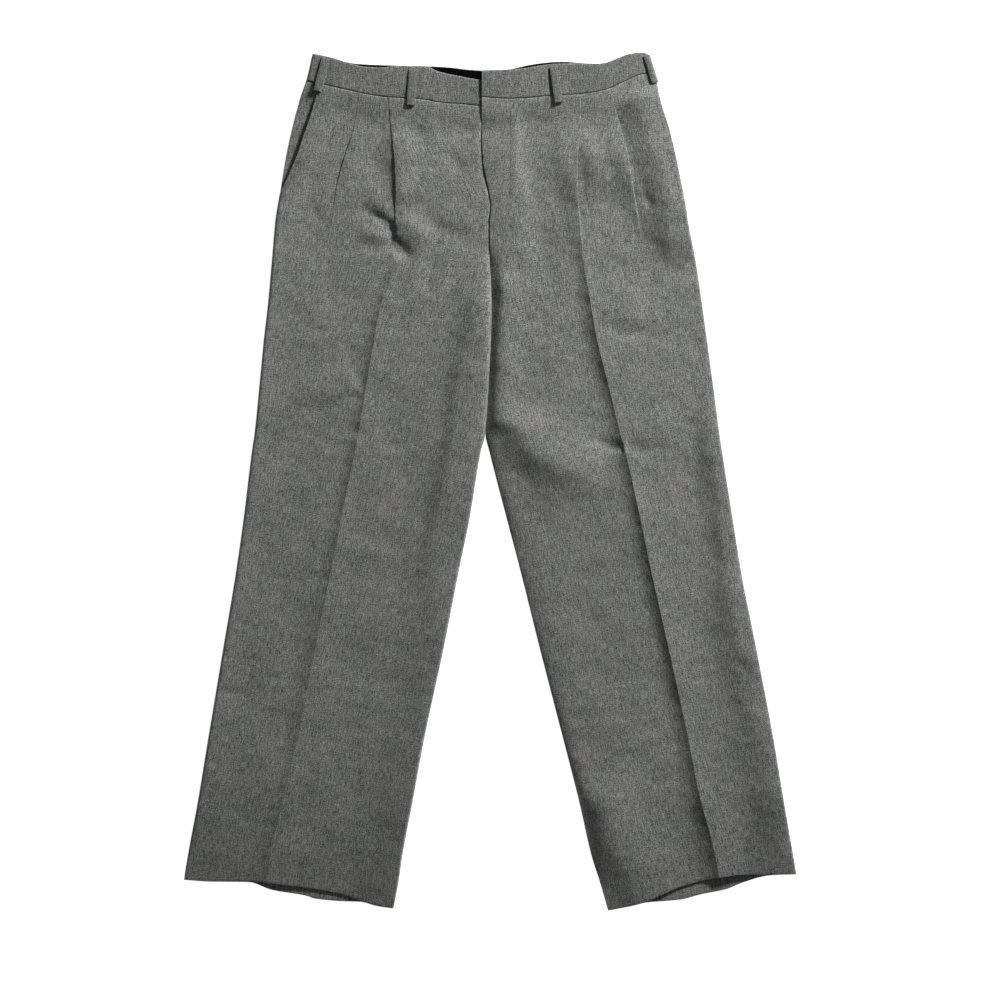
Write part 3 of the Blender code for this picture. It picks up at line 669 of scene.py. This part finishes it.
class Graph:
    """Short way to write a node tree."""

    def __init__(self, name):
        self.material = bpy.data.materials.new(name)
        self.material.use_nodes = True
        self.tree = self.material.node_tree
        self.shader = self.tree.nodes["Principled BSDF"]

    def node(self, kind, inputs=(), **settings):
        made = self.tree.nodes.new(kind)
        for key, value in settings.items():
            setattr(made, key, value)
        self.fill(made, dict(inputs))
        return made

    def fill(self, node, inputs):
        for name, value in inputs.items():
            if isinstance(value, bpy.types.NodeSocket):
                self.tree.links.new(value, node.inputs[name])
            else:
                node.inputs[name].default_value = value

    def bump(self, strength, height):
        made = self.node("ShaderNodeBump", {
            "Strength": strength, "Distance": 0.0002, "Height": height})
        return made.outputs[0]

    def math(self, operation, a, b=0.0, c=0.0):
        return self.node("ShaderNodeMath", {0: a, 1: b, 2: c}, operation=operation).outputs[0]

    def scaled(self, vector, x, y):
        mapping = self.node("ShaderNodeMapping", {"Vector": vector, "Scale": (x, y, 1)})
        return mapping.outputs[0]

    def noise(self, vector, scale, detail=2.0, rough=0.5):
        made = self.node("ShaderNodeTexNoise", {
            "Vector": vector, "Scale": scale, "Detail": detail, "Roughness": rough})
        return made.outputs["Fac"]

    def ramp(self, fac, stops):
        made = self.node("ShaderNodeValToRGB", {0: fac})
        made.color_ramp.elements[0].position = stops[0][0]
        made.color_ramp.elements[0].color = (*stops[0][1], 1)
        made.color_ramp.elements[1].position = stops[-1][0]
        made.color_ramp.elements[1].color = (*stops[-1][1], 1)
        for place, colour in stops[1:-1]:
            made.color_ramp.elements.new(place).color = (*colour, 1)
        return made.outputs[0]


WEAVE_PITCH = 0.0011     # metres from one yarn to the next
DARK, GREY, PALE = (.030, .032, .032), (.160, .163, .158), (.37, .372, .36)


def suiting(name, tone=1.0):
    """Grey wool suiting: pale and dark yarns, slubs along warp and weft, soft nap."""
    g = Graph(name)
    grain = g.node("ShaderNodeUVMap", uv_map="Grain").outputs[0]
    apart = g.node("ShaderNodeSeparateXYZ", {0: grain})

    def noise(across, down, detail=1.0, rough=0.5):
        return g.noise(g.scaled(grain, across, down), 1.0, detail, rough)

    def yarns(way):
        turns = g.math("MULTIPLY", apart.outputs[way], 2 * math.pi / WEAVE_PITCH)
        return g.math("SINE", turns)

    warp, weft = noise(900, 110), noise(140, 900)
    slub = g.math("MULTIPLY_ADD", noise(19, 400), 0.5, noise(430, 17))
    speck, cloud = noise(1000, 860, 2.0, 0.65), noise(24, 17, 2.0)
    weave = g.math("MULTIPLY", yarns(0), yarns(1))
    total = g.math("MULTIPLY_ADD", warp, 1.1, -0.55)
    for part, gain, shift in ((weft, 0.7, -0.35), (slub, 0.36, -0.27), (speck, 2.8, -1.4),
                              (weave, 0.05, 0.0), (cloud, 0.16, 0.42)):
        total = g.math("ADD", total, g.math("MULTIPLY_ADD", part, gain, shift))
    grey = g.ramp(total, [
        (place, [part * tone for part in shade])
        for place, shade in ((0.0, DARK), (0.5, GREY), (1.0, PALE))])
    tint = g.ramp(cloud, ((0.3, (.955, 1.0, .985)), (0.7, (1.0, .985, .975))))
    colour = g.node("ShaderNodeMix", {0: 1.0, 6: grey, 7: tint},
                    data_type="RGBA", blend_type="MULTIPLY").outputs[2]
    height = g.math("ADD", g.math("MULTIPLY", weave, 0.25),
                    g.math("ADD", speck, g.math("MULTIPLY", g.math("ADD", warp, weft), 0.5)))
    g.fill(g.shader, {
        "Base Color": colour, "Roughness": 0.95, "Specular IOR Level": 0.15,
        "Sheen Weight": 0.08, "Sheen Roughness": 0.5, "Normal": g.bump(0.3, height)})
    return g.material


def lining_cloth_and_painted_shade(name):
    """Black lining with a fine twill; its black is set far darker than real cloth, as painted shade in
    the gap seen above the band's front.
    """
    g = Graph(name)
    grain = g.node("ShaderNodeUVMap", uv_map="Grain").outputs[0]
    twill = g.node("ShaderNodeTexWave", {
        "Vector": g.node("ShaderNodeMapping", {
            "Vector": grain, "Rotation": (0, 0, math.radians(45)),
            "Scale": (900, 900, 900)}).outputs[0], "Scale": 1.0}).outputs["Fac"]
    # near-black: the lining's own black, darkened further as painted shade where the key light reaches
    # it
    black_and_painted_shade = g.ramp(twill, ((0.0, (.001, .001, .0013)), (1.0, (.0025, .0025, .003))))
    g.fill(g.shader, {"Base Color": black_and_painted_shade, "Roughness": 0.85, "Specular IOR Level": 0.03,
                      "Normal": g.bump(0.2, twill)})
    return g.material


def thread_cloth(name):
    """Sewing thread, a little darker than the suiting."""
    g = Graph(name)
    spin = g.noise(g.node("ShaderNodeTexCoord").outputs["Object"], 2500, 2)
    grey = g.ramp(spin, ((0.2, (.05, .052, .05)), (0.8, (.12, .122, .117))))
    g.fill(g.shader, {"Base Color": grey, "Roughness": 0.7})
    return g.material


cloth = suiting("suiting")
band_cloth = suiting("waistband_suiting", 0.82)
# the lining's black is partly painted shade
lining = lining_cloth_and_painted_shade("waistband_lining")
thread = thread_cloth("thread")


# Legs ----

def front_panel(side):
    """Front of a leg, its grain measured along the finished cloth."""
    rows = spaced(FRONT_STOPS)
    hem_rows = (HEM_Y, HEM_Y + 4, HEM_Y + 14, HEM_Y + TURN_UP)
    made = [front_section(side, row) for row in [*rows, *hem_rows]]
    points = finish_front(side, np.array([m[0] for m in made]))
    grain = [m[1] for m in made]
    inward = INWARD[side]
    for row, at in zip(points, grain):
        run = running(np.hypot(np.diff(row[:, 0]), np.diff(row[:, 2])))
        at[:, 0] = (run - np.interp(0, at[:, 0] * inward, run)) * inward
    shown = len(rows)
    return turned_hem(points[:shown], grain[:shown], (points[shown], grain[shown]), -1,
                      list(zip(points[shown + 1:], grain[shown + 1:])))


def back_section(side, row):
    """One row of a back: points of its wall's middle and its grain coordinates."""
    out = edge_x(side, row, "out", True)
    inner = edge_x(side, row, "inner", True) - INWARD[side] * HALF_GAP
    share = np.concatenate([[0, .002, .006, .014, .03], np.linspace(.05, .95, 44),
                            [.97, .986, .994, .998, 1]])
    x = out + share * (inner - out)
    y = level(side, row, x, True)
    crease = float(along(LEG[side], y[len(share) // 2], "crease"))
    crease = crease + (1 - below(row, 200, 300)) * 0.2 * (inner - crease)
    lift = 0.4 * (1 - np.exp(-np.abs(x - crease) / 12)) * below(row, 330, 180)
    wave = 0.2 + 0.18 * np.sin(x / 31 + row / 57) * np.sin(row / 83 + x / 71)
    lift = lift + wave * np.minimum(1, np.minimum(share, 1 - share) * 12)
    z = CLOTH / 2 + back_rise(row) + lift * (1 - above(row, 430, 40))
    return np.stack([x, y, z], 1), grain_at(side, row, y, x - crease)


def back_panel(side):
    rows = spaced(BACK_STOPS)
    made = [back_section(side, row) for row in rows]
    hem = back_section(side, HEM_Y)
    inside = [back_section(side, row) for row in (HEM_Y + 4, HEM_Y + 14, HEM_Y + TURN_UP)]
    return turned_hem([m[0] for m in made], [m[1] for m in made], hem, 1, inside)


def pocket_facing(side):
    """Suiting seen in the pocket's mouth."""
    grid = []
    for row in np.concatenate([[SEAM_Y + 1.2, SEAM_Y + .2, SEAM_Y - .8, SEAM_Y - 2],
                               np.linspace(SEAM_Y - 3.5, POCKET_END, 54)]):
        out = edge_x(side, row, "out", True)
        reach = float(along(POCKET, row, side)) + FACING_UNDER
        share = np.linspace(0, 1, 14)
        x = out + INWARD[side] * share * reach
        y = np.minimum(level(side, row, x, True), level(side, row, x, False))
        z = CAD_CLOTH / 2 + back_rise(row) + LAYER - 0.5 * np.exp(-share * reach / 1.2)
        z = z + (band_level(side, x) - 0.45 - z) * near_band(row)
        z = z - 1.45 * above(row, SEAM_Y - 2, 2)
        grid.append(np.stack([x, y, z, x, y], 1))
    return parted(grid, CLOTH / 2)


# Waistband ----

def band_place(side, path, y):
    """Place at a distance in from the band's outer face."""
    return float(along(LEG[side], y, "out")) + INWARD[side] * (path + BAND / 2)


def band_rise(side, x, y):
    """Extra height of the band's front over its level at the side."""
    reach = abs(x - float(along(LEG[side], y, "out")))
    return float(along(BAND_RISE, reach, side))


def band_point(side, rows, end, f, share, bend, path=SIDE_R, low_gap=0.05, top_gap=0.0):
    """Place at a share of the band's length from an end and of its height."""
    y = MID_BAND_Y
    for _ in range(4):
        x = end + f * (band_place(side, path, y) - end)
        x -= INWARD[side] * SIDE_R * math.sin(bend)
        low = float(along(rows, x, "seam")) + low_gap
        y = low + share * (float(along(rows, x, "top")) - top_gap - low)
    return x, y


def beside_loops(side, x, y):
    """Pucker of the band along the inner edge of a sewn loop."""
    depth = 0.0
    for loop in FRONT_LOOPS:
        if loop.name.endswith(side):
            t = (loop.y_top - y) / (loop.y_top - loop.y_end)
            middle = loop.x_top + t * (loop.x_end - loop.x_top)
            off = x - middle - INWARD[side] * (LOOP_WIDTH / 2 + 1)
            hold = float(above(t, -.05, .1) * below(t, 1.1, .1))
            depth += loop.pucker * hold * math.exp(-(off / PUCKER_WIDTH) ** 2)
    return depth


def waistband(side):
    """Half of the band, from the fly round the side to the centre back."""
    fly_end = CENTRE_FRONT + FLY_UNDERLAP + 4 if side == "right" else CENTRE_FRONT
    columns = [("front", f, 0.0) for f in np.concatenate(
        [[0, .003, .008], np.linspace(0.015, 0.97, 170), [0.985, 1]])]
    columns += [("turn", 1.0, math.pi * k / 12) for k in range(1, 12)]
    columns += [("back", f, math.pi) for f in np.linspace(1, 0, 50)]
    shares = (0, .012, .04, .1, .25, .4, .55, .7, .85, .93, .965, .985, .996, 1)
    half = (.4, .75, .95, 1, 1, 1, 1, 1, 1, 1, .95, .8, .5, .15)
    roll = (.25, .15, .04, 0, 0, 0, 0, 0, 0, 0, -.05, -.2, -.5, -.8)
    grid = []
    for share, edge_roll in zip(shares, roll):
        row = []
        for part, f, bend in columns:
            end = fly_end if part == "front" else CENTRE_BACK - INWARD[side] * HALF_GAP
            rows = WAIST[side] if part == "front" else WAIST_BACK
            x, y = band_point(side, rows, end, f, share, bend)
            if part == "front":
                wave = 0.35 * math.sin(x / 21 + 1) * math.sin(math.pi * share)
                z = FRONT_BAND_Z + band_rise(side, x, y) + wave * min(1, 8 * (1 - f))
                z += edge_roll - beside_loops(side, x, y)
            else:
                z = FRONT_BAND_Z - SIDE_R * (1 - math.cos(bend))
            row.append((x, y, z, x if part == "front" else -x, y))
        grid.append(row)
    return parted(grid, BAND / 2 * np.array(half)[:, None])


def waistband_lining(side):
    """Lining of the band's back, seen above its front."""
    end = CENTRE_BACK - INWARD[side] * HALF_GAP
    z = LOOP_ROOM + BAND + SEAM_GAP + 0.05 + LINING / 2
    grid = []
    for share in np.linspace(0, 1, 10):
        row = []
        for f in np.linspace(0, 1, 60):
            x, y = band_point(side, WAIST_BACK, end, f, share, 0, SIDE_R + 1, 0.6, 1.2)
            row.append((x, y, z, x, y))
        grid.append(row)
    return parted(grid, LINING / 2)


# Belt loops ----

def ray_height(objects, x, y):
    """Top of the cloth at a place."""
    best = 0.0
    for o in objects:
        hit, at, _, _ = o.ray_cast(Vector((x * MM, y * MM, 1)), Vector((0, 0, -1)))
        if hit:
            best = max(best, at.z / MM)
    return best


def loop_line(loop):
    """A belt loop's top, the way it runs, the way across it, and its length."""
    start, end = np.array([loop.x_top, loop.y_top]), np.array([loop.x_end, loop.y_end])
    length = float(np.linalg.norm(end - start))
    run = (end - start) / length
    return start, run, np.array([-run[1], run[0]]), length


def front_loop(loop, under):
    """Belt loop: over the band, standing off it, its end folded under and sewn."""
    start, run, across, length = loop_line(loop)

    def ground(s):
        places = [start + s * run + min(k * LOOP_WIDTH / 2, loop.bend) * across
                  for k in (-1, -.5, 0, .5, 1)]
        return max(ray_height(under, *place) for place in places)

    half, bend_r = LOOP_WALL / 2, 0.5
    top_s, end_s = 1.0, length - bend_r - half
    base_top = ground(2.5) + SEAM_GAP + half
    base_end = max(ground(length - 3), ground(length - 8)) + SEAM_GAP + half
    path = [(0.0, base_top - .35), (0.3, base_top - .12)]
    for t in np.linspace(0, 1, 26)[1:]:
        s = top_s + t * (end_s - top_s)
        z = base_top + t * (base_end + 2 * bend_r - base_top)
        z += 0.3 * math.sin(math.pi * min(1, t * 1.05)) ** 1.2
        z = max(z, ground(s) + SEAM_GAP + half)
        path.append((s, z))
    s0, z0 = path[-1]
    for k in range(1, 9):
        a = math.pi * k / 8
        path.append((s0 + bend_r * math.sin(a), z0 - bend_r * (1 - math.cos(a))))
    for back in (3, 6, 8.5):
        path.append((s0 - back, path[-1][1]))
    path = np.array(path)
    grid = []
    for s, z in path:
        row = []
        for k in (-1, -.93, -.8, -.62, -.4, -.2, 0, .2, .4, .62, .8, .93, 1):
            out = k * LOOP_WIDTH / 2
            turn = max(0.0, out - loop.bend) / LOOP_TURN_R
            off = out if turn == 0 else loop.bend + LOOP_TURN_R * math.sin(turn)
            x, y = start + s * run + off * across
            crown = 0.3 * (1 - k * k) - (0.16 if abs(abs(k) - .71) < .12 else 0)
            crown -= LOOP_TURN_R * (1 - math.cos(turn))
            row.append((x, y, z + crown, out, s))
        grid.append(row)
    walls = np.array([.45, .85, 1, 1, 1, 1, 1, 1, 1, 1, 1, .85, .45]) * half
    return parted(grid, walls)


def back_loop(loop):
    """Belt loop under the back of the band, flat on the floor."""
    grid = []
    offs = np.array([-1, -.93, -.8, -.4, 0, .4, .8, .93, 1]) * LOOP_WIDTH / 2
    for share in np.linspace(0, 1, 20):
        y = loop.y_top + share * (loop.y_end - loop.y_top)
        grid.append([(loop.x_top + off, y, LOOP_WALL / 2, off, y) for off in offs])
    walls = np.array([.45, .85, 1, 1, 1, 1, 1, .85, .45]) * LOOP_WALL / 2
    return parted(grid, walls)


# Sewing ----

def stitch_mesh(name, runs, radius=0.22, length=1.9, gap=0.9):
    """Short lengths of thread along surface paths given as runs of (x, y, z)."""
    verts, faces = [], []
    sides, rings = 6, ((-.5, .35), (-.42, .8), (0, 1), (.42, .8), (.5, .35))
    for run in runs:
        run = np.asarray(run, float)
        at = running(np.linalg.norm(np.diff(run, axis=0), axis=1))
        place = gap / 2
        while place + length < at[-1]:
            a = np.array([np.interp(place, at, run[:, k]) for k in range(3)])
            b = np.array([np.interp(place + length, at, run[:, k]) for k in range(3)])
            way = (b - a) / np.linalg.norm(b - a)
            side = np.cross(way, (0, 0, 1))
            side /= np.linalg.norm(side)
            up = np.cross(side, way)
            base = len(verts)
            for t, size in rings:
                centre = (a + b) / 2 + way * t * np.linalg.norm(b - a)
                centre = centre - up * radius * 1.2 * (2 * t) ** 4
                for k in range(sides):
                    turn = 2 * math.pi * k / sides
                    verts.append(centre + radius * size * (
                        side * math.cos(turn) + up * math.sin(turn)))
            for r in range(len(rings) - 1):
                for k in range(sides):
                    n = (k + 1) % sides
                    low = base + r * sides
                    faces.append((low + k, low + n, low + n + sides, low + k + sides))
            faces.append(tuple(base + k for k in range(sides))[::-1])
            last = base + (len(rings) - 1) * sides
            faces.append(tuple(last + k for k in range(sides)))
            place += length + gap
    mesh = bpy.data.meshes.new(name)
    mesh.from_pydata((np.array(verts) * MM).tolist(), [], faces)
    mesh.update()
    mesh.polygons.foreach_set("use_smooth", np.ones(len(mesh.polygons), bool))
    return mesh


# Build ----

# What is made of each leg: key, piece, maker, material, CAD node and slot.
PARTS = (
    ("back", "back_panel", back_panel, cloth, "back", "suiting"),
    ("facing", "pocket_facing_cloth", pocket_facing, cloth, "pocket_facing", "suiting"),
    ("front", "front_panel", front_panel, cloth, "front", "suiting"),
    ("band", "band", waistband, band_cloth, "waistband", "waistband_cloth"),
    ("lining", "band_lining", waistband_lining, lining, "waistband_lining",
     "waistband_lining"),
)
pieces = {}
for side in ("right", "left"):
    for key, name, maker, material, node, slot in PARTS:
        grid, grain, half = maker(side)
        pieces[f"{key}_{side}"] = add_piece(
            f"{name}_{side}", wall_mesh(f"{key}_{side}_mesh", grid, half, grain),
            material, [f"{node}_{side}"], slot)

bpy.context.view_layer.update()
under = [pieces[k] for k in ("front_right", "front_left", "band_right", "band_left",
                             "facing_right", "facing_left")]
loops = {}
for loop in FRONT_LOOPS + BACK_LOOPS:
    grid, grain, half = front_loop(loop, under) if loop in FRONT_LOOPS else back_loop(loop)
    loops[loop.name] = add_piece(
        f"{loop.name}_cloth", wall_mesh(f"{loop.name}_mesh", grid, half, grain),
        band_cloth, [loop.name], "waistband_cloth")
bpy.context.view_layer.update()


def on_surface(objects, points, lift=0.12):
    """Points dropped on the cloth, a little above it."""
    return [(x, y, ray_height(objects, x, y) + lift) for x, y in points]


def fly_line():
    """Topstitching of the fly: down beside the fly, then round to its edge."""
    line_x, turn_y, across, drop = 25, 372, 24, 42
    down = zip(np.linspace(0, 3, 30), np.linspace(484, turn_y, 30))
    points = [(line_x + .8 * math.sin(t), y) for t, y in down]
    for a in np.linspace(0, math.pi / 2, 14)[1:]:
        points.append((line_x - across * (1 - math.cos(a)), turn_y - drop * math.sin(a)))
    return points


def pocket_line(side, inset):
    """Topstitching of a pocket, an even distance in from its mouth."""
    points = []
    for row in np.linspace(SEAM_Y - 3, 366, 40):
        out = edge_x(side, row, "out", False)
        x = out + INWARD[side] * (float(along(POCKET, row, side)) + inset)
        points.append((x, float(level(side, row, x, False))))
    return points


fronts = [pieces["front_right"], pieces["front_left"]]
fly_runs = [on_surface([pieces["front_left"]], fly_line())]
add_piece("fly_stitching", stitch_mesh("fly_stitching_mesh", fly_runs), thread, [], "suiting")
pocket_runs = [on_surface(fronts, pocket_line(side, 5.5)) for side in ("right", "left")]
add_piece(
    "pocket_stitching", stitch_mesh("pocket_stitching_mesh", pocket_runs), thread, [], "suiting")
loop_runs = []
for loop in FRONT_LOOPS:
    start, run, across, length = loop_line(loop)
    for k in (-1, 1):
        points = [start + s * run + k * LOOP_STITCH * across
                  for s in np.linspace(1.5, length - 1.2, 30)]
        loop_runs.append(on_surface([loops[loop.name]], points, 0.1))
add_piece(
    "loop_stitching", stitch_mesh("loop_stitching_mesh", loop_runs, 0.18, 1.5, 0.7),
    thread, [], "waistband_cloth")

# Each belt loop's length in metres and what it lies on, worked out and not kept ----

for name, piece in loops.items():
    0.056 if "back" not in name else 0.046
    ("floor" if "back" in name
                       else pieces["band_right" if "right" in name else "band_left"])

# Floor, light and camera ----

FLOOR_Z = -0.0002
FLOOR_HALF = 40
corners = [(x * FLOOR_HALF, y * FLOOR_HALF, FLOOR_Z) for x, y in ((-1, -1), (1, -1), (1, 1), (-1, 1))]
floor_mesh = bpy.data.meshes.new("floor_mesh")
floor_mesh.from_pydata(corners, [], [(0, 1, 2, 3)])
floor = bpy.data.objects.new("floor", floor_mesh)
bpy.context.scene.collection.objects.link(floor)
g = Graph("floor")
g.fill(g.shader, {
    "Base Color": (.8, .8, .8, 1), "Roughness": 0.9, "Specular IOR Level": 0.1,
    "Emission Color": (1, 1, 1, 1), "Emission Strength": 0.9})
floor_mesh.materials.append(g.material)

scene = bpy.context.scene
scene.view_settings.view_transform = "Standard"
scene.view_settings.look = "None"
world = bpy.data.worlds.new("studio")
scene.world = world
world.use_nodes = True
world.node_tree.nodes["Background"].inputs[0].default_value = (0.97, 0.985, 1.0, 1)
world.node_tree.nodes["Background"].inputs[1].default_value = 0.14

key_data = bpy.data.lights.new("key", "AREA")
key_data.shape = "DISK"
key_data.size = 0.5
key_data.energy = 168
key_data.color = (1.0, 0.985, 0.965)
key_light = bpy.data.objects.new("key", key_data)
key_light.location = (1.80, 2.14, 1.08)
aim = Vector((-0.25, 0.1, 0)) - key_light.location
key_light.rotation_euler = aim.to_track_quat("-Z", "Y").to_euler()
scene.collection.objects.link(key_light)

SHOT = 1.27          # width seen at the cloth
LENS, SENSOR = 110.0, 36.0
camera_data = bpy.data.cameras.new("camera")
camera_data.lens = LENS
camera_data.sensor_width = SENSOR
camera = bpy.data.objects.new("camera", camera_data)
camera.location = (0.012, -0.0235, SHOT * LENS / SENSOR + 0.006)
camera.rotation_euler = (0, 0, 0)
scene.collection.objects.link(camera)
scene.camera = camera
